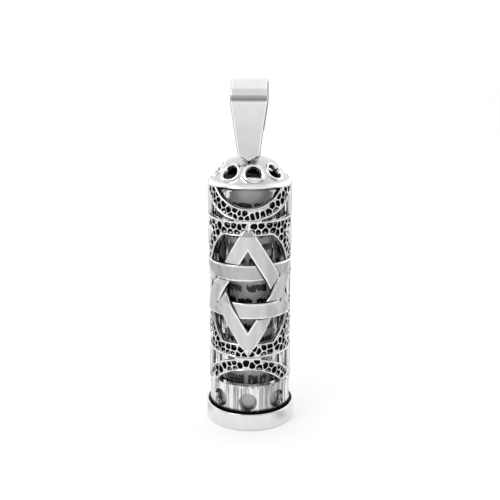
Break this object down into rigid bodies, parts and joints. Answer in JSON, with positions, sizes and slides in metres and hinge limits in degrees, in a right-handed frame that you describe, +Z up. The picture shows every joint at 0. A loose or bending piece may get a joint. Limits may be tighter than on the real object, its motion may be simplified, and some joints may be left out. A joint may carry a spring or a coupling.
{
  "type": "mezuzah case",
  "caption": "Pendant mezuzah case: openwork silver sleeve with a woven star over a glass tube and rolled scroll, pull-off base cap and swinging bail.",
  "frame": {"origin": "centre of the flat face under the base cap, on which the case stands", "axes": "+Z up the case towards the bail, -Y towards the front star, +X to the right of someone facing the front"},
  "size_m": [0.01, 0.01, 0.0381],
  "materials": {
    "cast_silver": "cast sterling silver, polished on the raised edges, oxidised black in the recesses",
    "polished_silver": "mirror-polished sterling silver",
    "satin_silver": "turned silver left matt",
    "clear_glass": "clear drawn glass",
    "parchment": "matt parchment sheet rolled up, with plain ink strokes",
    "grey_silicone": "matt dark grey silicone",
    "black_rubber": "matt black rubber"
  },
  "bodies": {
    "case": {"openwork_sleeve": "cast_silver", "front_star": "polished_silver", "rear_star": "polished_silver", "dome_crown": "cast_silver", "hanger_ring": "polished_silver", "glass_tube": "clear_glass", "tube_seat_ring": "grey_silicone"},
    "bail": {"bail": "polished_silver"},
    "cap": {"cap_dish": "polished_silver", "cap_plug": "satin_silver", "grip_ring": "black_rubber"},
    "scroll": {"scroll": "parchment"}
  },
  "joints": [
    {"name": "case_lift", "type": "slide", "parent": "cap", "child": "case", "axis": [0, 0, 1], "range_m": [0, 0.03]},
    {"name": "bail_swing", "type": "hinge", "parent": "case", "child": "bail", "pos_m": [0, 0, 0.03125], "axis": [-1, 0, 0], "range_deg": [0, 80]},
    {"name": "scroll_draw", "type": "slide", "parent": "case", "child": "scroll", "axis": [0, 0, -1], "range_m": [0, 0.03]}
  ],
  "couplings": [
    {"joint": "scroll_draw", "follows": "case_lift", "ratio": 1}
  ]
}
